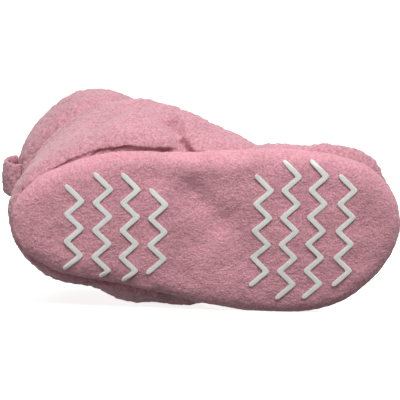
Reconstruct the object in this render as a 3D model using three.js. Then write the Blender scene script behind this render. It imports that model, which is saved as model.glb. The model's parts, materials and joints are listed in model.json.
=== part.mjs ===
// A padded fleece bootie slipper for the left foot, lying on its outer side.
// Each piece is worked out in the shoe's own axes, in millimetres: x from heel to toe, y towards the
// little toe's side, z up from the face that is walked on. One group then lays the whole shoe down.
import * as THREE from "three";

// Driving dimensions
const LENGTH = 257; // heel end to toe end of the sole
const SOLE_THICK = 12; // padded sole: fleece, foam, fleece
const SOLE_ROLL = 13; // how far in from the outline the sole's rounded edge starts
const ROLL_HEIGHT = 8.5; // height of the sole's widest line
const TOE_SPRING = 6;
const TOE_SPRING_START = 212;
const WAIST_LIFT = 3.5; // the sole's arch on the inner side
const WAIST_X = 130;
const WAIST_REACH = 27;
const WAIST_FADE = [-30, 45]; // y over which the arch runs out towards the outer side
const LIFT_FADE = [22, 62]; // heights between which the upper stops following the sole's lift
const WALL = 3.2; // two layers of fleece
const CUFF_THICK = 4.4;
const CUFF_PUFF = 0.9; // how much further the cuff's middle stands out
const INSOLE_THICK = 4.5;
const GAP = 0.35; // clearance between two sewn pieces
const CUFF_OUT = GAP + CUFF_THICK;
const REST_LEAN = THREE.MathUtils.degToRad(11); // the floor's slope against the shoe's side
const REST_OFFSET = 58.3; // where the floor crosses z = 0, from the shoe's middle line

// Grid sizes
const AROUND = 52; // points around a ring, a multiple of two
const UPPER_RINGS = 25;
const ACROSS = 6; // strips across a closing face

// Fullness of the sole's outline: the half-width of the ellipse through it, at a share of the length
const SOLE_FULLNESS = [
  { at: 0, inner: 58, outer: 58 },
  { at: 0.13, inner: 56, outer: 52.5 },
  { at: 0.26, inner: 54, outer: 47 },
  { at: 0.38, inner: 50, outer: 49.3 },
  { at: 0.5, inner: 48.8, outer: 55.5 },
  { at: 0.65, inner: 55, outer: 63.8 },
  { at: 0.8, inner: 63, outer: 73 },
  { at: 0.92, inner: 73, outer: 77 },
  { at: 1, inner: 76, outer: 72 },
];

// Rings of the upper from the sole seam to the collar, each between a point on the back seam and one on
// the front
const RINGS_ALONG = [
  { at: 0, backX: 5, backZ: 12.4, frontX: 250, frontZ: 12.4 },
  { at: 0.05, backX: -1, backZ: 19, frontX: 255.5, frontZ: 18 },
  { at: 0.12, backX: -2.5, backZ: 30, frontX: 255.5, frontZ: 28 },
  { at: 0.2, backX: -1.5, backZ: 41, frontX: 248, frontZ: 38 },
  { at: 0.29, backX: 1, backZ: 53, frontX: 231, frontZ: 47 },
  { at: 0.38, backX: 3, backZ: 64, frontX: 207, frontZ: 55 },
  { at: 0.47, backX: 6, backZ: 74, frontX: 179, frontZ: 64 },
  { at: 0.55, backX: 9, backZ: 83, frontX: 154, frontZ: 76 },
  { at: 0.63, backX: 10, backZ: 92, frontX: 133, frontZ: 90 },
  { at: 0.71, backX: 9, backZ: 102, frontX: 120, frontZ: 103 },
  { at: 0.8, backX: 6, backZ: 115, frontX: 112, frontZ: 117 },
  { at: 0.9, backX: 4, backZ: 130, frontX: 108, frontZ: 133 },
  { at: 1, backX: 5, backZ: 145, frontX: 106, frontZ: 147 },
];
// Near the sole a ring copies the sole's outline: how much of that copy is kept in front (foot) and at
// the heel (heelFoot), its scale (span), and what is added to the scale round the toes (toe)
const SOLE_COPY = [
  { at: 0, foot: 1, heelFoot: 1, span: 0.93, toe: 0 },
  { at: 0.05, foot: 1, heelFoot: 0.5, span: 0.99, toe: 0.06 },
  { at: 0.12, foot: 0.9, heelFoot: 0.1, span: 0.95, toe: 0.13 },
  { at: 0.2, foot: 0.6, heelFoot: 0, span: 0.91, toe: 0.11 },
  { at: 0.29, foot: 0.3, heelFoot: 0, span: 0.9, toe: 0 },
  { at: 0.38, foot: 0.1, heelFoot: 0, span: 0.9, toe: 0 },
  { at: 0.47, foot: 0, heelFoot: 0, span: 0.9, toe: 0 },
  { at: 0.55, foot: 0, heelFoot: 0, span: 0.9, toe: 0 },
  { at: 0.63, foot: 0, heelFoot: 0, span: 0.9, toe: 0 },
  { at: 0.71, foot: 0, heelFoot: 0, span: 0.9, toe: 0 },
  { at: 0.8, foot: 0, heelFoot: 0, span: 0.9, toe: 0 },
  { at: 0.9, foot: 0, heelFoot: 0, span: 0.9, toe: 0 },
  { at: 1, foot: 0, heelFoot: 0, span: 0.9, toe: 0 },
];
// Half-widths of the ellipse that takes over higher up: its sides, heel corners and front
const RING_WIDTHS = [
  { at: 0, inner: 60, outer: 60, heelIn: 60, heelOut: 60, nose: 66 },
  { at: 0.05, inner: 66, outer: 67, heelIn: 62, heelOut: 80, nose: 66 },
  { at: 0.12, inner: 70, outer: 70, heelIn: 63, heelOut: 87, nose: 58 },
  { at: 0.2, inner: 72, outer: 73, heelIn: 63, heelOut: 83, nose: 49 },
  { at: 0.29, inner: 73, outer: 75, heelIn: 63, heelOut: 77, nose: 45 },
  { at: 0.38, inner: 73, outer: 74.5, heelIn: 62, heelOut: 72, nose: 43 },
  { at: 0.47, inner: 71, outer: 72, heelIn: 60, heelOut: 68, nose: 44 },
  { at: 0.55, inner: 66.5, outer: 67, heelIn: 56, heelOut: 63, nose: 47 },
  { at: 0.63, inner: 60.5, outer: 61, heelIn: 53, heelOut: 59, nose: 49 },
  { at: 0.71, inner: 57, outer: 57, heelIn: 51.5, heelOut: 56, nose: 52 },
  { at: 0.8, inner: 57, outer: 58, heelIn: 51.5, heelOut: 57, nose: 56 },
  { at: 0.9, inner: 58.5, outer: 60, heelIn: 52.5, heelOut: 59.5, nose: 58 },
  { at: 1, inner: 54.5, outer: 57, heelIn: 49.5, heelOut: 56.5, nose: 54 },
];
const HEEL_TO = { inner: 0.4, outer: 0.2 }; // share of a ring's length where its heel corner ends
const NOSE_FROM = 0.42; // where its side starts to give way to its front
const NOSE_TO = 0.79;
const FOOT_FROM = 0.42; // where the copy of the sole goes over from heelFoot to foot
const FOOT_TO = 0.66;
const TOE_FROM = 0.76;
const TOE_TO = 0.93;

// Soft folds pressed into the upper's sides: a trough between two places, its depth and half-width
const FOLDS = [
  { side: -1, fromX: 113, fromZ: 12, toX: 92, toZ: 58, depth: 7, reach: 12 },
  { side: 1, fromX: 60, fromZ: 14, toX: 53, toZ: 56, depth: 6, reach: 11 },
  { side: 1, fromX: 152, fromZ: 14, toX: 138, toZ: 56, depth: 4, reach: 11 },
];
const FOLD_MIDDLE = 15; // folds fade out within this distance of the shoe's middle line
const FOLD_RISE = [12, 27]; // heights over which they deepen from the sole seam up

// Printed grips: zigzags across the sole, each from its first corner on the inner side, counted in steps
const GRIPS = [
  { name: "heel_grip_1", x: 36.9, y: -25.1, steps: 6 },
  { name: "heel_grip_2", x: 55.2, y: -33.4, steps: 7.45 },
  { name: "heel_grip_3", x: 73, y: -33.7, steps: 7.75 },
  { name: "heel_grip_4", x: 91.4, y: -23.9, steps: 6 },
  { name: "ball_grip_1", x: 159.6, y: -35.2, steps: 8 },
  { name: "ball_grip_2", x: 177.6, y: -44.9, steps: 10 },
  { name: "ball_grip_3", x: 195.3, y: -45.6, steps: 10 },
  { name: "ball_grip_4", x: 214.7, y: -36.5, steps: 8 },
];
const GRIP_STEP = 9.17; // across the sole, from one corner to the next
const GRIP_SWING = 9.8; // along the sole, from one corner to the next
const GRIP_HALF_WIDTH = 1.65;
const GRIP_THICK = 1.3;
const GRIP_GAP = 0.45; // clearance to the sole, which curves between a grip's corners
const END_ROUND = 0.45; // share of its width that a grip keeps at its very end

const LOOP_WIDTH = 25;
const LOOP_THICK = 3;
const LOOP_REACH = 11.2; // how far the pull loop stands out from the cuff
const LOOP_RISE = 14; // half its height along the back seam
const LOOP_AT = 0.845; // its middle, as a share of the way from sole seam to collar
const LOOP_SPANS = 12;
const SEAM_LENGTH = 150; // back seam from sole to collar

const FLEECE = { color: 0xd68a9b, roughness: 0.95, metalness: 0 };
const LINING = { color: 0xdc97a6, roughness: 0.95, metalness: 0 };
const PRINT = { color: 0xd9ddd8, roughness: 0.55, metalness: 0 };

const { clamp, lerp, smoothstep } = THREE.MathUtils;

// A smooth curve through one column of a table, read at a place between its rows
function along(rows, column, at) {
  const last = rows.length - 2;
  const found = rows.findIndex((row, i) => i <= last && at <= rows[i + 1].at);
  const i = found < 0 ? last : found;
  const slope = (j) => {
    const before = rows[Math.max(j - 1, 0)];
    const after = rows[Math.min(j + 1, rows.length - 1)];
    return (after[column] - before[column]) / (after.at - before.at);
  };
  const width = rows[i + 1].at - rows[i].at;
  const u = clamp((at - rows[i].at) / width, 0, 1);
  const ease = u * u * (3 - 2 * u);
  const leave = u * (1 - u) * (1 - u) * width;
  const arrive = u * u * (1 - u) * width;
  return lerp(rows[i][column], rows[i + 1][column], ease) + slope(i) * leave - slope(i + 1) * arrive;
}

// Share of a ring's length at an angle from the heel; outer side first, then back along the inner side
const lengthShare = (angle) => (1 - Math.cos(angle)) / 2;
const sideOf = (angle) => (Math.sin(angle) >= 0 ? "outer" : "inner");
const angleAt = (i) => (2 * Math.PI * i) / AROUND;

// How far the sole's arch and toe spring lift a place, fading out up the side of the upper
function lifted(point) {
  const toe = clamp((point.x - TOE_SPRING_START) / (LENGTH - TOE_SPRING_START), 0, 1);
  const inwards = 1 - smoothstep(point.y, ...WAIST_FADE);
  const waist = smoothstep(1 - Math.abs(point.x - WAIST_X) / WAIST_REACH, 0, 1);
  const lift = TOE_SPRING * toe * toe + WAIST_LIFT * waist * inwards;
  point.z += lift * (1 - smoothstep(point.z, ...LIFT_FADE));
  return point;
}

// The floor is a plane along the shoe's outer side; nothing reaches past it
function heldByFloor(point, out) {
  const floorY = REST_OFFSET + point.z * Math.tan(REST_LEAN) + Math.min(out, 0) / Math.cos(REST_LEAN);
  point.y = Math.min(point.y, floorY);
  return point;
}

function outline(angle) {
  const share = lengthShare(angle);
  const fullness = along(SOLE_FULLNESS, sideOf(angle), share);
  return new THREE.Vector2(share * LENGTH, Math.sin(angle) * fullness);
}

// A point of the sole's outline, drawn in by a distance along its own normal
function inset(angle, distance) {
  const step = 1e-3;
  const ahead = outline(angle + step).sub(outline(angle - step));
  const inward = new THREE.Vector2(ahead.y, -ahead.x).normalize();
  return outline(angle).addScaledVector(inward, distance);
}

function foldDepth(point) {
  let depth = 0;
  for (const fold of FOLDS) {
    const from = new THREE.Vector2(fold.fromX, fold.fromZ);
    const run = new THREE.Vector2(fold.toX, fold.toZ).sub(from);
    const place = new THREE.Vector2(point.x, point.z).sub(from);
    const share = clamp(place.dot(run) / run.lengthSq(), 0, 1);
    const off = place.addScaledVector(run, -share).length() / fold.reach;
    const onSide = smoothstep(point.y * fold.side, 0, FOLD_MIDDLE);
    depth += fold.depth * Math.exp(-off * off) * onSide;
  }
  return depth * smoothstep(point.z, ...FOLD_RISE);
}

// A point of the upper's smooth form, before folds and thickness
function lastPoint(angle, at) {
  const place = (column) => along(RINGS_ALONG, column, at);
  const width = (column) => along(RING_WIDTHS, column, at);
  const copied = (column) => along(SOLE_COPY, column, at);
  const share = lengthShare(angle);
  const side = sideOf(angle);
  const span = copied("span") + copied("toe") * smoothstep(share, TOE_FROM, TOE_TO);
  const foot = along(SOLE_FULLNESS, side, share) * span;
  const corner = side === "outer" ? "heelOut" : "heelIn";
  const back = lerp(width(corner), width(side), smoothstep(share, 0, HEEL_TO[side]));
  const round = lerp(back, width("nose"), smoothstep(share, NOSE_FROM, NOSE_TO));
  const footWeight = lerp(copied("heelFoot"), copied("foot"), smoothstep(share, FOOT_FROM, FOOT_TO));
  return new THREE.Vector3(
    lerp(place("backX"), place("frontX"), share),
    Math.sin(angle) * lerp(round, foot, footWeight),
    lerp(place("backZ"), place("frontZ"), share),
  );
}

// A point of the upper at a distance out from its outer face; inside it, the distance is negative
function upperPoint(angle, at, out) {
  const step = 1e-3;
  const up = lastPoint(angle, Math.min(at + step, 1)).sub(lastPoint(angle, Math.max(at - step, 0)));
  const round = lastPoint(angle + step, at).sub(lastPoint(angle - step, at));
  const normal = up.cross(round).normalize();
  const point = lastPoint(angle, at);
  const depth = foldDepth(point);
  point.addScaledVector(normal, out - depth);
  return heldByFloor(lifted(point), out);
}

// A closed surface put together from rings of points, bands between them and faces that close them
class Shell {
  constructor() {
    this.points = [];
    this.faces = [];
  }

  ring(points) {
    const first = this.points.length;
    this.points.push(...points);
    return points.map((_, i) => first + i);
  }

  quad(a, b, c, d) {
    this.faces.push(a, b, c, a, c, d);
  }

  band(low, high) {
    low.forEach((_, i) => {
      const next = (i + 1) % low.length;
      this.quad(low[i], high[i], high[next], low[next]);
    });
  }

  // Closes a ring with strips from its outer side to its inner side
  close(ring, up) {
    const half = ring.length / 2;
    const rows = [[ring[0]]];
    for (let i = 1; i < half; i++) {
      const from = this.points[ring[i]];
      const to = this.points[ring[ring.length - i]];
      const between = [];
      for (let j = 1; j < ACROSS; j++) {
        between.push(new THREE.Vector3().lerpVectors(from, to, j / ACROSS));
      }
      rows.push([ring[i], ...this.ring(between), ring[ring.length - i]]);
    }
    rows.push([ring[half]]);
    const face = (a, b, c) => this.faces.push(...(up ? [a, c, b] : [a, b, c]));
    for (let i = 0; i < half; i++) {
      const [near, far] = [rows[i], rows[i + 1]];
      for (let j = 0; j < ACROSS; j++) {
        if (near.length === 1) face(near[0], far[j], far[j + 1]);
        else if (far.length === 1) face(near[j], far[0], near[j + 1]);
        else {
          face(near[j], far[j], far[j + 1]);
          face(near[j], far[j + 1], near[j + 1]);
        }
      }
    }
  }

  mesh(name, finish) {
    const geometry = new THREE.BufferGeometry().setFromPoints(this.points);
    geometry.setIndex(this.faces);
    geometry.computeVertexNormals();
    const mesh = new THREE.Mesh(geometry, new THREE.MeshStandardMaterial(finish));
    mesh.name = name;
    return mesh;
  }
}

const ringAt = (make) => Array.from({ length: AROUND }, (_, i) => make(angleAt(i)));

// Height of the sole's rounded edge above its flat face, at a distance in from the outline
function rollHeight(distance) {
  const share = 1 - clamp(distance / SOLE_ROLL, 0, 1);
  return ROLL_HEIGHT * (1 - Math.sqrt(1 - share * share));
}

function outsole() {
  const shell = new Shell();
  const edge = [
    ...[1, 0.62, 0.34, 0.12, 0].map((share) => ({ inset: share * SOLE_ROLL, z: rollHeight(share * SOLE_ROLL) })),
    { inset: 0.8, z: ROLL_HEIGHT + 2.1 },
    { inset: 3, z: SOLE_THICK },
  ];
  const rings = edge.map((row) =>
    shell.ring(
      ringAt((angle) => {
        const place = inset(angle, row.inset);
        return new THREE.Vector3(place.x, place.y, row.z);
      }),
    ),
  );
  rings.slice(1).forEach((ring, i) => shell.band(rings[i], ring));
  shell.close(rings[0], false);
  shell.close(rings.at(-1), true);
  shell.points.forEach((point) => heldByFloor(lifted(point), 0));
  return shell.mesh("outsole", FLEECE);
}

function upper() {
  const shell = new Shell();
  const rows = Array.from({ length: UPPER_RINGS }, (_, i) => i / (UPPER_RINGS - 1));
  const face = (out) => rows.map((at) => shell.ring(ringAt((angle) => upperPoint(angle, at, out))));
  const rings = [...face(0), ...face(-WALL).reverse()];
  rings.forEach((ring, i) => shell.band(ring, rings[(i + 1) % rings.length]));
  return shell.mesh("upper", FLEECE);
}

function insole() {
  const shell = new Shell();
  const edge = [
    { share: 0, inset: 1.6 },
    { share: 0.5, inset: 0.6 },
    { share: 1, inset: 2 },
  ];
  const rings = edge.map((row) =>
    shell.ring(
      ringAt((angle) => {
        const place = upperPoint(angle, 0, -WALL - GAP - row.inset);
        return new THREE.Vector3(place.x, place.y, SOLE_THICK + GAP + row.share * INSOLE_THICK);
      }),
    ),
  );
  rings.slice(1).forEach((ring, i) => shell.band(rings[i], ring));
  shell.close(rings[0], false);
  shell.close(rings.at(-1), true);
  shell.points.forEach(lifted);
  return shell.mesh("insole", LINING);
}

// The cuff is one hooked section carried round the collar: down the outside, over the rim, into the shaft
function cuff() {
  const shell = new Shell();
  const inner = -WALL - GAP;
  const hook = [
    { at: 0.705, out: GAP, rise: 0 },
    { at: 0.69, out: CUFF_OUT * 0.5, rise: 0 },
    { at: 0.705, out: CUFF_OUT * 0.92, rise: 0 },
    { at: 0.77, out: CUFF_OUT + CUFF_PUFF * 0.6, rise: 0 },
    { at: 0.85, out: CUFF_OUT + CUFF_PUFF, rise: 0 },
    { at: 0.91, out: CUFF_OUT + CUFF_PUFF * 0.8, rise: 0 },
    { at: 0.97, out: CUFF_OUT, rise: 0 },
    { at: 1, out: CUFF_OUT - 1.2, rise: 2.6 },
    { at: 1, out: 0, rise: 4.6 },
    { at: 1, out: inner - 1.5, rise: 3.4 },
    { at: 0.98, out: inner - 3, rise: 0 },
    { at: 0.93, out: inner - 2.8, rise: 0 },
    { at: 0.92, out: inner - 1.2, rise: 0 },
    { at: 0.93, out: inner, rise: 0 },
    { at: 1, out: inner, rise: GAP },
    { at: 1, out: GAP, rise: GAP },
    { at: 0.95, out: GAP, rise: 0 },
    { at: 0.9, out: GAP, rise: 0 },
    { at: 0.85, out: GAP, rise: 0 },
    { at: 0.77, out: GAP, rise: 0 },
  ];
  const rings = hook.map((row) =>
    shell.ring(
      ringAt((angle) => {
        const point = upperPoint(angle, row.at, row.out);
        point.z += row.rise;
        return point;
      }),
    ),
  );
  rings.forEach((ring, i) => shell.band(ring, rings[(i + 1) % rings.length]));
  return shell.mesh("cuff", FLEECE);
}

// The pull loop is a strap bent into a bow, both ends sewn to the cuff on the back seam
function pullLoop() {
  const shell = new Shell();
  const corner = 1.2; // its raw edges are rounded
  const half = LOOP_WIDTH / 2;
  const section = [
    { side: -half, out: corner },
    { side: -half + corner, out: 0 },
    { side: 0, out: 0 },
    { side: half - corner, out: 0 },
    { side: half, out: corner },
    { side: half, out: LOOP_THICK - corner },
    { side: half - corner, out: LOOP_THICK },
    { side: 0, out: LOOP_THICK },
    { side: -half + corner, out: LOOP_THICK },
    { side: -half, out: LOOP_THICK - corner },
  ];
  const seat = CUFF_OUT + CUFF_PUFF + GAP;
  const round = along(RING_WIDTHS, "inner", LOOP_AT) + seat;
  const rings = Array.from({ length: LOOP_SPANS + 1 }, (_, i) => {
    const turn = Math.PI * (i / LOOP_SPANS);
    return shell.ring(
      section.map(({ side, out }) => {
        const reach = (LOOP_REACH - LOOP_THICK + out) * Math.sin(turn);
        const rise = (LOOP_RISE - LOOP_THICK + out) * Math.cos(turn);
        const point = upperPoint(Math.asin(side / round), LOOP_AT + rise / SEAM_LENGTH, seat + reach);
        point.y = side;
        return point;
      }),
    );
  });
  rings.slice(1).forEach((ring, i) => shell.band(rings[i], ring));
  const [first, last] = [rings[0], rings.at(-1)];
  for (let i = 0; i < section.length / 2 - 1; i++) {
    const across = section.length - 1 - i;
    shell.quad(first[i], first[i + 1], first[across - 1], first[across]);
    shell.quad(last[i], last[across], last[across - 1], last[i + 1]);
  }
  return shell.mesh("pull_loop", FLEECE);
}

// Stations down a grip's zigzag: a place on its middle line and the direction its width is measured in
function gripStations({ x, y, steps }) {
  const way = new THREE.Vector2(GRIP_SWING, GRIP_STEP).normalize();
  const mitre = new THREE.Vector2(1 / way.y, 0); // keeps the line's width round a corner
  const corner = (i) => new THREE.Vector2(x + (i % 2) * GRIP_SWING, y + i * GRIP_STEP);
  const stations = [];
  for (let i = 0; i < steps; i++) {
    const from = corner(i);
    const to = from.clone().lerp(corner(i + 1), Math.min(steps - i, 1));
    const run = to.clone().sub(from).normalize();
    const square = new THREE.Vector2(run.y, -run.x);
    const rounded = square.clone().multiplyScalar(END_ROUND);
    if (i === 0) {
      stations.push({ place: from.clone().addScaledVector(run, -GRIP_HALF_WIDTH), across: rounded });
      stations.push({ place: from, across: square });
    } else stations.push({ place: from, across: mitre });
    stations.push({ place: from.clone().lerp(to, 0.5), across: square });
    if (i + 1 >= steps) {
      stations.push({ place: to, across: square });
      stations.push({ place: to.clone().addScaledVector(run, GRIP_HALF_WIDTH), across: rounded });
    }
  }
  return stations;
}

// A raised line printed on the sole; each of its points keeps its distance from the face above it
function grip(row, sole) {
  const section = [
    { side: -1, out: 0 },
    { side: -0.95, out: 0.6 },
    { side: -0.5, out: 1 },
    { side: 0.5, out: 1 },
    { side: 0.95, out: 0.6 },
    { side: 1, out: 0 },
  ];
  const ray = new THREE.Raycaster();
  const shell = new Shell();
  const rings = gripStations(row).map(({ place, across }) =>
    shell.ring(
      section.map(({ side, out }) => {
        const point = place.clone().addScaledVector(across, side * GRIP_HALF_WIDTH);
        ray.set(new THREE.Vector3(point.x, point.y, -LENGTH), new THREE.Vector3(0, 0, 1));
        const face = ray.intersectObject(sole)[0].point.z;
        return new THREE.Vector3(point.x, point.y, face - GRIP_GAP - out * GRIP_THICK);
      }),
    ),
  );
  rings.slice(1).forEach((ring, i) => shell.band(rings[i], ring));
  const [first, last] = [rings[0], rings.at(-1)];
  for (let i = 1; i < section.length - 1; i++) {
    shell.faces.push(first[0], first[i], first[i + 1], last[0], last[i + 1], last[i]);
  }
  return shell.mesh(row.name, PRINT);
}

const slipper = new THREE.Group();
const sole = outsole();
slipper.add(sole, insole(), upper(), cuff(), pullLoop(), ...GRIPS.map((row) => grip(row, sole)));

// Laid on its outer side: the sole faces -Y, and the floor's plane is level
const lying = new THREE.Group();
lying.add(slipper);
slipper.rotation.x = REST_LEAN - Math.PI / 2;

// The origin is under the middle of the whole shoe, on the floor
lying.updateMatrixWorld(true);
const extent = new THREE.Box3().setFromObject(lying, true);
const middle = extent.getCenter(new THREE.Vector3());
slipper.position.set(-middle.x, -middle.y, -extent.min.z);

export default lying;
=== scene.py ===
"""A padded fleece bootie slipper for the left foot, lying on its outer side on white paper."""

import json
import math

import bpy
import numpy as np
from mathutils import Matrix, Vector


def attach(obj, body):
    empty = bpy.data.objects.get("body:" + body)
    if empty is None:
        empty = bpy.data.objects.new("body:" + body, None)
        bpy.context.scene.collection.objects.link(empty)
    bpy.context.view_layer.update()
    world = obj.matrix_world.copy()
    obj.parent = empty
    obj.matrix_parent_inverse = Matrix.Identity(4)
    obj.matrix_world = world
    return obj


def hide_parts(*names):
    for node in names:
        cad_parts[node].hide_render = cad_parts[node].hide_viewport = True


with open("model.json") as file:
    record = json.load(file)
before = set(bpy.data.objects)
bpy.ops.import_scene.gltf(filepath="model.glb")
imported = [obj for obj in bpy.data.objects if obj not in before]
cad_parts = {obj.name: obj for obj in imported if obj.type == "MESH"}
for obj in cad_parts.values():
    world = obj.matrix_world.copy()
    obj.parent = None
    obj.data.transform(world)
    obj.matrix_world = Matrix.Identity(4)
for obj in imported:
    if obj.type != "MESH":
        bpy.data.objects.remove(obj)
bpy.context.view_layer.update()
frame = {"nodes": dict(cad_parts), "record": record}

# The slipper's own axes. In them x runs from heel to toe, y towards the little toe and z up from the
# face that is walked on, in millimetres. As it lies, the slipper is turned 79 degrees about x from
# them, and the mount under its heel is at a known place in them.
LYING = math.radians(-79)
HEEL_MOUNT = Vector((0.024, 0, 0))  # in metres
MM = 0.001

mounts = {mount["name"]: mount for mount in frame["record"]["mounts"]}
heel_place = Vector(mounts["sole_heel"]["pos_m"])
turned = Matrix.Rotation(LYING, 4, "X")
SHOE = Matrix.Translation(heel_place) @ turned @ Matrix.Translation(-HEEL_MOUNT)
TO_SHOE = np.array(SHOE.inverted())
FROM_SHOE = np.array(SHOE)


def on_shoe(x, y, z):
    """The scene's place for one given in the slipper's own millimetres."""
    return SHOE @ (Vector((x, y, z)) * MM)


# The camera. It faces the sole with a long lens, and stands a little towards the heel and towards
# the inner side, which is up.
AIM = (124.0, -15.4, 10)
DISTANCE = 1050
FROM_INNER = math.radians(15)
FROM_HEEL = math.radians(4)
ROLL = math.radians(2.5)
LENS = 143.64

away = Vector((
    -math.sin(FROM_HEEL) * math.cos(FROM_INNER),
    -math.sin(FROM_INNER),
    -math.cos(FROM_INNER) * math.cos(FROM_HEEL),
))
side = (-away).cross(Vector((0, -1, 0))).normalized()
top = side.cross(-away)
picture_right = side * math.cos(ROLL) + top * math.sin(ROLL)
picture_up = top * math.cos(ROLL) - side * math.sin(ROLL)
spin = turned.to_3x3()
columns = [spin @ picture_right, spin @ picture_up, spin @ away]
rows = [[column[i] for column in columns] for i in range(3)]
stand = Matrix.Translation(on_shoe(*(Vector(AIM) + DISTANCE * away)))
camera_data = bpy.data.cameras.new("camera")
camera_data.lens = LENS
camera = bpy.data.objects.new("camera", camera_data)
bpy.context.collection.objects.link(camera)
camera.matrix_world = stand @ Matrix(rows).to_4x4()
bpy.context.scene.camera = camera

# The studio. One sheet of white paper lies under the slipper and curves up far behind it. Soft
# square lamps stand round it, and the room itself gives a little light.
PAPER_FRONT = -2.5
PAPER_MIDDLE = 0.6  # a flat stretch of the sheet under the slipper, this far to the front and back
PAPER_BACK = 1.6
PAPER_BEND = 0.9
PAPER_HEIGHT = 2.4
PAPER_WIDTH = 7
BEND_STEPS = 24
PAPER_LOOK = {
    "Base Color": (0.86, 0.86, 0.86, 1),
    "Roughness": 0.9,
    "Specular IOR Level": 0.1,
    "Emission Color": (1, 1, 1, 1),
    "Emission Strength": 0.8,
}
LAMPS = [  # name, place, the place it faces, width in metres, power in watts
    ("ceiling", (0, 0.1, 2.2), (0, 0.1, 0), 3.0, 13),
    ("key", (-0.04, -0.5, 0.7), (0, 0, 0.08), 0.3, 2.0),
    ("front", (0.2, -1.35, 1.6), (0, 0, 0.07), 0.7, 24.5),
    ("toe_side", (1.2, -0.7, 0.85), (0.12, -0.03, 0.07), 0.5, 4.0),
    ("heel_side", (-0.9, -0.5, 0.12), (-0.12, -0.05, 0.03), 0.5, 3.0),
    ("back", (0.1, 1.4, 1.0), (0, 0, 0.07), 1.0, 12),
]
ROOM_LIGHT = 0.14


def new_material(name, look):
    """A material with these values in its Principled shader."""
    material = bpy.data.materials.new(name)
    material.use_nodes = True
    shader = material.node_tree.nodes["Principled BSDF"]
    for socket, value in look.items():
        shader.inputs[socket].default_value = value
    return material


section = [(PAPER_FRONT, 0), (-PAPER_MIDDLE, 0), (PAPER_MIDDLE, 0)]
for i in range(BEND_STEPS + 1):
    angle = math.pi / 2 * i / BEND_STEPS
    section.append((PAPER_BACK + PAPER_BEND * math.sin(angle), PAPER_BEND * (1 - math.cos(angle))))
section.append((PAPER_BACK + PAPER_BEND, PAPER_HEIGHT))
paper_data = bpy.data.meshes.new("paper")
paper_data.from_pydata(
    [(x, y, z) for y, z in section for x in (-PAPER_WIDTH / 2, PAPER_WIDTH / 2)],
    [],
    [(2 * i, 2 * i + 1, 2 * i + 3, 2 * i + 2) for i in range(len(section) - 1)],
)
paper_data.shade_smooth()
paper_data.materials.append(new_material("paper_white", PAPER_LOOK))
paper = bpy.data.objects.new("paper", paper_data)
bpy.context.collection.objects.link(paper)
paper.visible_diffuse = False  # it throws no light back on the slipper, whose lower side stays dark

for name, place, target, width, power in LAMPS:
    light = bpy.data.lights.new(name, "AREA")
    light.size = width
    light.energy = power
    lamp = bpy.data.objects.new(name, light)
    bpy.context.collection.objects.link(lamp)
    lamp.location = place
    lamp.rotation_euler = (Vector(target) - Vector(place)).to_track_quat("-Z", "Y").to_euler()

world = bpy.data.worlds.new("studio")
world.use_nodes = True
background = world.node_tree.nodes["Background"]
background.inputs["Color"].default_value = (1, 1, 1, 1)
background.inputs["Strength"].default_value = ROOM_LIGHT
bpy.context.scene.world = world
bpy.context.scene.view_settings.view_transform = "Standard"

# The sole. It is a foam pad covered in fleece all round, sewn to the wall along its upper edge, so
# its rim is a fat roll and its walked-on face swells a little. Wear has pressed soft hollows into it.
SOLE_CELL = 1.25  # of the fine mesh
SOLE_LENGTH = 257
SOLE_MIDDLE = (126, 4)  # where the walked-on face swells most
SOLE_HALF = (128, 58)  # how far the swell reaches along and across
SOLE_CROWN = 2.6  # and how high it is
SOLE_TROUGHS = [
    # the waist is pinched in below its inner edge, and slack folds run out of the pinch
    {"line": [(118, -22, 0), (127, -14, 0), (135, -6, 0)], "depth": 3.2, "reach": 10},
    {"line": [(110, -44, 0), (126, -40, 0), (150, -42, 0)], "depth": -1.6, "reach": 8},
    {"line": [(148, 2, 0), (156, 20, 0)], "depth": 1.8, "reach": 12},
    {"line": [(112, 30, 0), (122, 12, 0)], "depth": 1.4, "reach": 11},
    {"line": [(88, -34, 0), (100, -30, 0)], "depth": 1.2, "reach": 9},
    # the foam gives under the toes
    {"line": [(232, -6, 0), (236, 18, 0)], "depth": 1.2, "reach": 9},
]
INTO_SOLE = (0, 0, 1)  # square to the walked-on face
UNDERSIDE_TO = 2  # up to this height the rim moves with the walked-on face
UNDERSIDE_FADE = 10
# the rim is fuller at the heel's outer side, towards the walked-on face
OUTER_RIM = [
    {"line": [(3, 12, 4), (13, 27, 4), (34, 36, 4), (60, 40, 4), (92, 45, 4)],
     "depth": 1.8, "reach": 4.5},
]
OUTER_RIM_WAY = (0, 0.1, -1)
# the seam with the wall follows the toe spring and the waist's arch, which fades to the outer side
SEAM_Z = 12.2
TOE_SPRING = 6
SPRING_FROM = 212
SPRING_REACH = 45
WAIST_LIFT = 3.5
WAIST_X = 130
WAIST_REACH = 27
WAIST_FADE_FROM = 45
WAIST_FADE = 75
# it is drawn in towards a middle line, deepest round the heel and on along the inner side
MIDDLE_X = (55, 205)
MIDDLE_Y = 4
GROOVE_SHALLOW = 2.8  # its depth beside the toes
GROOVE_END = 3  # in its own widths, where the groove has run out
DEEP_TO_X = 95  # where the deep stretch ends on the outer side
DEEP_FURTHER_INSIDE = 55  # how much later it ends on the inner side
DEEP_FADE = 12
INNER_SIDE_Y = -12
INNER_SIDE_FADE = 8
UNDER_FOOT = 12  # there is no groove nearer the middle line than this, and a whole one from twice it
TOE_FROM = 190  # the foam fills the toe out, past its cut length
TOE_FILL = 2.8
SEED_STEP = (0.37, 0.19)  # in metres, between the places that two seeds take from the noise
FLOOR_GAP = 0.0002  # in metres
NEARLY_NONE = 1e-9  # keeps a length from being none


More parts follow.
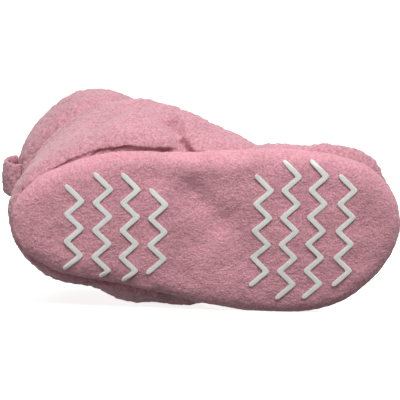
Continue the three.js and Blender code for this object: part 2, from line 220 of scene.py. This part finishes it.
def shoe_points(mesh):
    """A mesh's points in the slipper's own millimetres."""
    places = np.empty(len(mesh.vertices) * 3)
    mesh.vertices.foreach_get("co", places)
    return (places.reshape(-1, 3) @ TO_SHOE[:3, :3].T + TO_SHOE[:3, 3]) / MM


def set_shoe_points(mesh, points):
    """Puts a mesh's points where these are, in the slipper's own millimetres."""
    places = points * MM @ FROM_SHOE[:3, :3].T + FROM_SHOE[:3, 3]
    mesh.vertices.foreach_set("co", places.ravel())
    mesh.update()


def select_only(piece):
    """Makes a piece the only one that operators act on."""
    bpy.ops.object.select_all(action="DESELECT")
    piece.select_set(True)
    bpy.context.view_layer.objects.active = piece


def copy_of(node, name):
    """A piece of its own with a CAD node's form, its loose triangles joined."""
    source = frame["nodes"][node]
    piece = bpy.data.objects.new(name, source.data.copy())
    piece.data.materials.clear()
    bpy.context.collection.objects.link(piece)
    select_only(piece)
    bpy.ops.object.mode_set(mode="EDIT")
    bpy.ops.mesh.select_all(action="SELECT")
    bpy.ops.mesh.remove_doubles(threshold=1e-5)
    bpy.ops.object.mode_set(mode="OBJECT")
    return piece


def apply_modifier(piece, kind, **values):
    """Adds a modifier with these values and applies it at once."""
    modifier = piece.modifiers.new(kind.lower(), kind)
    for field, value in values.items():
        setattr(modifier, field, value)
    select_only(piece)
    bpy.ops.object.modifier_apply(modifier=modifier.name)


def soften(piece, cell):
    """Rounds a faceted form and gives it an even fine mesh."""
    apply_modifier(piece, "SUBSURF", levels=2, render_levels=2)
    apply_modifier(piece, "REMESH", mode="VOXEL", voxel_size=cell * MM)
    apply_modifier(piece, "SMOOTH", factor=0.5, iterations=6)


def distance_to_line(points, line):
    """How far each point is from a line of straight runs."""
    nearest = np.full(len(points), np.inf)
    for start, end in zip(line[:-1], line[1:]):
        start = np.array(start, float)
        run = np.array(end, float) - start
        share = np.clip((points - start) @ run / (run @ run), 0, 1)
        nearest = np.minimum(nearest, np.linalg.norm(points - start - share[:, None] * run, axis=1))
    return nearest


def press(points, troughs, way):
    """Pushes soft troughs into the points; a negative depth raises a ridge."""
    moved = np.zeros(len(points))
    for trough in troughs:
        off = distance_to_line(points, trough["line"]) / trough["reach"]
        moved += trough["depth"] * np.exp(-off**2)
    return points + moved[:, None] * np.array(way)


def crown(x, y):
    """How far the walked-on face swells at a place on it."""
    across = np.clip(np.abs(y - SOLE_MIDDLE[1]) / SOLE_HALF[1], 0, 1)
    lengthwise = np.clip(np.abs(x - SOLE_MIDDLE[0]) / SOLE_HALF[0], 0, 1)
    return SOLE_CROWN * (1 - across**2) * (1 - lengthwise**4)


def walked_on_offset(points):
    """The swell and the hollows of the walked-on face together, upwards from it."""
    flat = points * np.array((1, 1, 0))
    hollows = press(flat, SOLE_TROUGHS, INTO_SOLE)[:, 2]
    return hollows - crown(points[:, 0], points[:, 1])


def fill_toe(points):
    """Stretches the toe a little, more towards its tip."""
    share = np.clip((points[:, 0] - TOE_FROM) / (SOLE_LENGTH - TOE_FROM), 0, None)
    points[:, 0] += TOE_FILL * share**2
    return points


def smooth(share):
    """A share from none to one that starts and ends gently."""
    share = np.clip(share, 0, 1)
    return share * share * (3 - 2 * share)


def seam_height(points):
    """How high the seam lies over the walked-on face at each point."""
    toe = np.clip((points[:, 0] - SPRING_FROM) / SPRING_REACH, 0, 1)
    waist = smooth(1 - np.abs(points[:, 0] - WAIST_X) / WAIST_REACH)
    inner = smooth((WAIST_FADE_FROM - points[:, 1]) / WAIST_FADE)
    return SEAM_Z + TOE_SPRING * toe**2 + WAIST_LIFT * waist * inner


def seam_groove(points, deepest, low, high):
    """Draws the seam in, deepest round the heel; low and high are its widths to each side."""
    middle = np.clip(points[:, 0], *MIDDLE_X)
    inwards = np.stack([middle - points[:, 0], MIDDLE_Y - points[:, 1]], axis=1)
    distance = np.linalg.norm(inwards, axis=1)
    inwards /= distance[:, None] + NEARLY_NONE
    over = points[:, 2] - seam_height(points)
    rise = np.clip(over / np.where(over < 0, low, high), -GROOVE_END, GROOVE_END)
    inner = 1 / (1 + np.exp((points[:, 1] - INNER_SIDE_Y) / INNER_SIDE_FADE))
    past = points[:, 0] - DEEP_TO_X - DEEP_FURTHER_INSIDE * inner
    heel = 1 / (1 + np.exp(past / DEEP_FADE))
    depth = (GROOVE_SHALLOW + (deepest - GROOVE_SHALLOW) * heel) * np.exp(-rise**2)
    depth *= smooth((distance - UNDER_FOOT) / UNDER_FOOT)
    points[:, :2] += inwards * depth[:, None]
    return points


def uneven(piece, size, height, seed):
    """Leaves the cloth a little uneven, as padded fleece is."""
    texture = bpy.data.textures.new(f"{piece.name}_uneven", "CLOUDS")
    texture.noise_scale = size * MM
    texture.noise_depth = 2
    shift = Vector((seed * SEED_STEP[0], seed * SEED_STEP[1], 0))
    mesh = piece.data
    mesh.transform(Matrix.Translation(shift))
    apply_modifier(piece, "DISPLACE", texture=texture, strength=height * MM, mid_level=0.5)
    mesh.transform(Matrix.Translation(-shift))


def keep_above_floor(piece):
    """Flattens what would sink into the floor."""
    for point in piece.data.vertices:
        point.co.z = max(point.co.z, FLOOR_GAP)


sole = copy_of("outsole", "padded_sole")
soften(sole, SOLE_CELL)
points = shoe_points(sole.data)
underside = 1 - np.clip((points[:, 2] - UNDERSIDE_TO) / UNDERSIDE_FADE, 0, 1)
points[:, 2] += walked_on_offset(points) * underside
points = press(points, OUTER_RIM, OUTER_RIM_WAY)
points = fill_toe(seam_groove(points, deepest=3.4, low=2.0, high=4))
set_shoe_points(sole.data, points)
uneven(sole, size=16, height=1.4, seed=1)
uneven(sole, size=2.8, height=0.8, seed=2)
keep_above_floor(sole)
sole.data.shade_smooth()

# Its pile: short curled fibres in nubs one or two millimetres wide, with painted light on their tips and
# painted shade in the hollows between them, finer fibres over them and slow changes of tone where the
# pile was brushed another way.
NUB_BEND = 0.0022  # how far the nubs wander off an even pattern
CURL_SHARE = 0.38  # of round curls in the nubs' height
FIBRE_SHARE = 0.14  # of fine fibres in the pile's height
FLEECE_LOOK = {
    "Roughness": 0.95,
    "Specular IOR Level": 0.15,
    "Sheen Weight": 0.45,
    "Sheen Roughness": 0.5,
    "Sheen Tint": (1.0, 0.84, 0.87, 1),
}

pile = bpy.data.node_groups.new("fleece_pile", "ShaderNodeTree")
sockets = [
    ("Place", "INPUT", "NodeSocketVector"),
    ("Lit_Tips", "INPUT", "NodeSocketColor"),
    ("Shaded_Hollows", "INPUT", "NodeSocketColor"),
    ("Nubs", "INPUT", "NodeSocketFloat"),
    ("Colour", "OUTPUT", "NodeSocketColor"),
    ("Height", "OUTPUT", "NodeSocketFloat"),
]
for socket_name, way, kind in sockets:
    pile.interface.new_socket(name=socket_name, in_out=way, socket_type=kind)


def add_node(tree, kind, inputs=None, **values):
    """A node with its settings, and with its inputs linked or set."""
    node = tree.nodes.new(kind)
    for field, value in values.items():
        setattr(node, field, value)
    for socket, value in (inputs or {}).items():
        if isinstance(value, bpy.types.NodeSocket):
            tree.links.new(value, node.inputs[socket])
        else:
            node.inputs[socket].default_value = value
    return node


given = pile.nodes.new("NodeGroupInput").outputs
wander = add_node(
    pile, "ShaderNodeTexNoise",
    {"Vector": given["Place"], "Scale": 260, "Detail": 1},
)
bent = add_node(
    pile, "ShaderNodeMixRGB",
    {"Fac": NUB_BEND, "Color1": given["Place"], "Color2": wander.outputs["Color"]},
)
nubs = add_node(
    pile, "ShaderNodeTexNoise",
    {"Vector": bent.outputs["Color"], "Scale": given["Nubs"], "Detail": 2.5, "Roughness": 0.62},
)
curls = add_node(
    pile, "ShaderNodeTexVoronoi",
    {"Vector": bent.outputs["Color"], "Scale": given["Nubs"], "Smoothness": 0.6},
    feature="SMOOTH_F1",
)
fibres = add_node(
    pile, "ShaderNodeTexNoise",
    {"Vector": given["Place"], "Scale": 2600, "Detail": 2, "Roughness": 0.7},
)
brushed = add_node(
    pile, "ShaderNodeTexNoise",
    {"Vector": given["Place"], "Scale": 38, "Detail": 3, "Roughness": 0.6},
)
round_curls = add_node(
    pile, "ShaderNodeMath",
    {0: 1.0, 1: curls.outputs["Distance"]},
    operation="SUBTRACT",
)
nub_height = add_node(
    pile, "ShaderNodeMix",
    {"Factor": CURL_SHARE, "A": nubs.outputs["Fac"], "B": round_curls.outputs[0]},
)
height = add_node(
    pile, "ShaderNodeMix",
    {"Factor": FIBRE_SHARE, "A": nub_height.outputs["Result"], "B": fibres.outputs["Fac"]},
)
# painted light and shade: the nubs' tips take the lit copy of the colour and the hollows between them
# the shaded copy, following the pile's height
painted_tip_light = add_node(
    pile, "ShaderNodeMapRange",
    {"Value": height.outputs["Result"], "From Min": 0.34, "From Max": 0.68},
    interpolation_type="SMOOTHSTEP",
)
shade = add_node(
    pile, "ShaderNodeMapRange",
    {"Value": brushed.outputs["Fac"], "From Min": 0.3, "From Max": 0.7, "To Min": 0.93, "To Max": 1.05},
)
painted_light_and_shade = add_node(
    pile, "ShaderNodeMixRGB",
    {"Fac": painted_tip_light.outputs["Result"], "Color1": given["Shaded_Hollows"], "Color2": given["Lit_Tips"]},
)
brushed_colour = add_node(
    pile, "ShaderNodeVectorMath",
    {0: painted_light_and_shade.outputs["Color"], "Scale": shade.outputs["Result"]},
    operation="SCALE",
)
made = pile.nodes.new("NodeGroupOutput").inputs
pile.links.new(brushed_colour.outputs["Vector"], made["Colour"])
pile.links.new(height.outputs["Result"], made["Height"])


def fleece(name, lit_tip_colour, shaded_hollow_colour, nubs=720, relief=1.1):
    """Matt pile whose edges catch a little light, with nubs to the metre and relief in millimetres; its
    nubs' tips carry painted light and the hollows between them painted shade.
    """
    material = new_material(name, FLEECE_LOOK)
    tree = material.node_tree
    shader = tree.nodes["Principled BSDF"]
    place = add_node(tree, "ShaderNodeTexCoord")
    cloth = add_node(
        tree, "ShaderNodeGroup",
        {"Place": place.outputs["Object"], "Lit_Tips": (*lit_tip_colour, 1), "Shaded_Hollows": (*shaded_hollow_colour, 1), "Nubs": nubs},
        node_tree=pile,
    )
    bump = add_node(
        tree, "ShaderNodeBump",
        {"Strength": 0.9, "Distance": relief * MM, "Height": cloth.outputs["Height"]},
    )
    tree.links.new(cloth.outputs["Colour"], shader.inputs["Base Color"])
    tree.links.new(bump.outputs["Normal"], shader.inputs["Normal"])
    return material


# each fleece is given a lit and a shaded copy of its colour, for the painted light on the nubs' tips and
# the painted shade in their hollows
sole_fleece = fleece("sole_fleece", lit_tip_colour=(0.79, 0.385, 0.452), shaded_hollow_colour=(0.60, 0.26, 0.312))
sole.data.materials.append(sole_fleece)
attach(sole, "root")
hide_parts("outsole")

# The insole. It is a thin padded bed in pale fleece, glued to the sole inside the upper, and its rim
# is drawn in where the seam is.
INSOLE_CELL = 1.6

insole = copy_of("insole", "padded_insole")
soften(insole, INSOLE_CELL)
points = seam_groove(shoe_points(insole.data), deepest=5.0, low=4, high=5.5)
set_shoe_points(insole.data, fill_toe(points))
uneven(insole, size=14, height=0.8, seed=3)
insole.data.shade_smooth()
lining = fleece("lining", lit_tip_colour=(0.72, 0.37, 0.43), shaded_hollow_colour=(0.56, 0.26, 0.31))
insole.data.materials.append(lining)
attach(insole, "root")
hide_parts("insole")

# The upper. Two layers of fleece are sewn to the sole all round and up the back. The slack wall
# folds above the inner side of the heel, where the slipper bends, and puffs out in front of the fold.
UPPER_CELL = 1.46
INNER = -1  # the sign of y on that side
OUTER = 1
SIDE_FADE = 18  # a side's troughs fade out over this, towards the middle line
INNER_TROUGHS = [
    # the main fold: a trough that starts at the seam and fades upwards, between two puffy lips
    {"line": [(115, -50, 15), (109, -55, 24), (103, -61, 34)], "depth": 4.4, "reach": 4.8},
    {"line": [(115, -50, 15), (111, -54, 21)], "depth": 2.6, "reach": 4.0},
    {"line": [(103, -61, 34), (97, -65, 46)], "depth": 2.0, "reach": 5.5},
    {"line": [(123, -53, 18), (117, -59, 29), (111, -63, 40)], "depth": -2.6, "reach": 5.0},
    {"line": [(100, -57, 22), (94, -61, 31)], "depth": -1.6, "reach": 6},
    # the heel's side hangs a little over the seam
    {"line": [(12, -28, 28), (28, -44, 30), (50, -56, 31), (66, -60, 30)],
     "depth": -3.0, "reach": 7},
    # the wall puffs over the seam beside the big toe
    {"line": [(206, -50, 25), (222, -48, 26), (238, -40, 27)], "depth": -5.0, "reach": 8},
    # slack places on either side of the fold
    {"line": [(52, -56, 34), (68, -62, 46), (80, -64, 58)], "depth": 2.0, "reach": 8},
    {"line": [(134, -57, 36), (131, -57, 50), (127, -48, 66)], "depth": 2.2, "reach": 3.6},
    {"line": [(166, -52, 22), (163, -50, 36), (158, -44, 50)], "depth": 5.5, "reach": 7},
]
# they are pushed in and a little away from the sole, so that the wall above them leans out
INWARDS_INNER = (0, 0.75, 0.6)
OUTER_TROUGHS = [
    {"line": [(60, 60, 16), (56, 66, 36), (52, 66, 56)], "depth": 2.6, "reach": 6},
    {"line": [(152, 60, 16), (146, 62, 34), (138, 58, 52)], "depth": 2.2, "reach": 6},
    {"line": [(96, 66, 24), (100, 66, 48)], "depth": 1.6, "reach": 8},
]
INWARDS_OUTER = (0, -1, 0)
# the slack wall leans over the seam round the heel, towards the sole's face
INNER_LEAN = [
    {"line": [(10, -24, 22), (22, -37, 22), (40, -47, 22), (58, -53, 22), (76, -56, 22), (108, -56, 21)],
     "depth": 7.5, "reach": 6.5},
    {"line": [(114, -53, 20), (150, -53, 19)], "depth": 4.2, "reach": 5},
]
OUTER_LEAN = [
    {"line": [(2, 12, 18), (12, 28, 18), (33, 40, 18), (56, 46, 18), (80, 49, 18), (96, 50, 18)],
     "depth": 6.5, "reach": 5.5},
]
TO_SOLE_FACE = (0, 0, -1)
SEAM_DROP = 2.2  # the wall's foot is sewn down onto the sole
SEAM_DROP_REACH = 2.5
# the wall has a crest below the cuff
CREST = [
    {"line": [(10, -22, 80), (24, -36, 80), (42, -52, 80), (60, -61, 80)],
     "depth": -3.2, "reach": 4.5},
    {"line": [(89, -61, 78), (96, -59, 75), (105, -60, 68)], "depth": -6.8, "reach": 10},
]
# the cuff's lower edge is drawn in all round, and the wall under it too
TUCK = [
    {"line": [(8, -18, 97), (30, -48, 97), (60, -61, 98), (88, -58, 101), (112, -36, 104)],
     "depth": 14.0, "reach": 7.5},
    {"line": [(116, 30, 105), (92, 56, 104), (60, 60, 103), (30, 48, 102), (8, 18, 102)],
     "depth": 2.5, "reach": 8},
]
SHAFT_MIDDLE_X = 57


def shaft_inwards(points):
    """The way towards the middle of the shaft, level with each point."""
    way = np.array((SHAFT_MIDDLE_X, 0, 0)) - points * np.array((1, 1, 0))
    return way / (np.linalg.norm(way, axis=1)[:, None] + NEARLY_NONE)


def on_side(points, pressed, side_sign):
    """The pressed points on one side of the slipper, and the points as they were on the other."""
    share = smooth(points[:, 1] * side_sign / SIDE_FADE)
    return points + (pressed - points) * share[:, None]


upper = copy_of("upper", "fleece_upper")
soften(upper, UPPER_CELL)
points = shoe_points(upper.data)
pressed = press(points, INNER_TROUGHS, INWARDS_INNER)
pressed = press(pressed, INNER_LEAN, TO_SOLE_FACE)
points = on_side(points, pressed, INNER)
points = press(points, CREST, shaft_inwards(points))
points = press(points, TUCK, shaft_inwards(points))
points = on_side(points, press(points, OUTER_TROUGHS, INWARDS_OUTER), OUTER)
points = fill_toe(seam_groove(points, deepest=5.0, low=3, high=2.6))
points = on_side(points, press(points, OUTER_LEAN, TO_SOLE_FACE), OUTER)
over_seam = (points[:, 2] - seam_height(points)) / SEAM_DROP_REACH
points[:, 2] -= SEAM_DROP * np.exp(-(over_seam**2))
set_shoe_points(upper.data, points)
uneven(upper, size=22, height=1.6, seed=4)
uneven(upper, size=3.8, height=2.4, seed=6)
keep_above_floor(upper)
upper.data.shade_smooth()
upper_fleece = fleece(
    "upper_fleece", lit_tip_colour=(0.72, 0.36, 0.415), shaded_hollow_colour=(0.50, 0.22, 0.265), nubs=600, relief=1.7,
)
upper.data.materials.append(upper_fleece)
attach(upper, "root")
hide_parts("upper")

# The cuff. It is a doubled band of the same fleece, turned down over the collar and stitched round
# inside it.
CUFF_CELL = 1.3

cuff = copy_of("cuff", "turned_cuff")
soften(cuff, CUFF_CELL)
points = shoe_points(cuff.data)
set_shoe_points(cuff.data, press(points, TUCK, shaft_inwards(points)))
uneven(cuff, size=18, height=2.0, seed=5)
uneven(cuff, size=3.8, height=2.4, seed=7)
keep_above_floor(cuff)
cuff.data.shade_smooth()
cuff_fleece = fleece(
    "cuff_fleece", lit_tip_colour=(0.685, 0.35, 0.405), shaded_hollow_colour=(0.49, 0.222, 0.268), nubs=600, relief=1.5,
)
cuff.data.materials.append(cuff_fleece)
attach(cuff, "root")
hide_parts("cuff")

# The pull loop. It is a folded strap of the cuff's fleece, with both ends sewn to the cuff on the
# seam at the back.
LOOP_CELL = 0.8

loop = copy_of("pull_loop", "fleece_loop")
soften(loop, LOOP_CELL)
uneven(loop, size=3.8, height=1.6, seed=8)
loop.data.shade_smooth()
loop.data.materials.append(cuff_fleece)
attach(loop, "root")
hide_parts("pull_loop")

# The printed grips. They are zigzags of greyish white rubber, printed thick on the pile, so that
# they sink a little into it and keep a rounded, faintly glossy top.
GRIP_SINK = 0.3
GRIP_TOP = 1.05  # above this height over the sole the print is nearly flat
GRIP_FLATTEN = 0.8
GRIP_WHITE = (0.80, 0.83, 0.79, 1)
GRIP_DUSTY = (0.70, 0.73, 0.69, 1)
GRIP_LOOK = {"Roughness": 0.6, "Specular IOR Level": 0.5}

rubber = new_material("grip_print", GRIP_LOOK)
tree = rubber.node_tree
shader = tree.nodes["Principled BSDF"]
place = add_node(tree, "ShaderNodeTexCoord").outputs["Object"]
dust = add_node(
    tree, "ShaderNodeTexNoise",
    {"Vector": place, "Scale": 190, "Detail": 4, "Roughness": 0.6},
)
tone = add_node(
    tree, "ShaderNodeMapRange",
    {"Value": dust.outputs["Fac"], "From Min": 0.3, "From Max": 0.7},
)
print_colour = add_node(
    tree, "ShaderNodeMixRGB",
    {"Fac": tone.outputs["Result"], "Color1": GRIP_DUSTY, "Color2": GRIP_WHITE},
)
pores = add_node(
    tree, "ShaderNodeTexNoise",
    {"Vector": place, "Scale": 900, "Detail": 3, "Roughness": 0.6},
)
bump = add_node(
    tree, "ShaderNodeBump",
    {"Strength": 0.35, "Distance": 0.25 * MM, "Height": pores.outputs["Fac"]},
)
tree.links.new(print_colour.outputs["Color"], shader.inputs["Base Color"])
tree.links.new(bump.outputs["Normal"], shader.inputs["Normal"])

for node in sorted(name for name in frame["nodes"] if "_grip_" in name):
    grip = copy_of(node, node.replace("_grip_", "_zigzag_"))
    apply_modifier(grip, "SUBSURF", levels=1, render_levels=1, subdivision_type="SIMPLE")
    apply_modifier(grip, "SUBSURF", levels=2, render_levels=2)
    points = shoe_points(grip.data)
    points[:, 2] += GRIP_FLATTEN * np.clip(-points[:, 2] - GRIP_TOP, 0, None)
    points[:, 2] += walked_on_offset(points) + GRIP_SINK
    set_shoe_points(grip.data, points)
    grip.data.shade_smooth()
    grip.data.materials.append(rubber)
    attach(grip, "root")
    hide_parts(node)
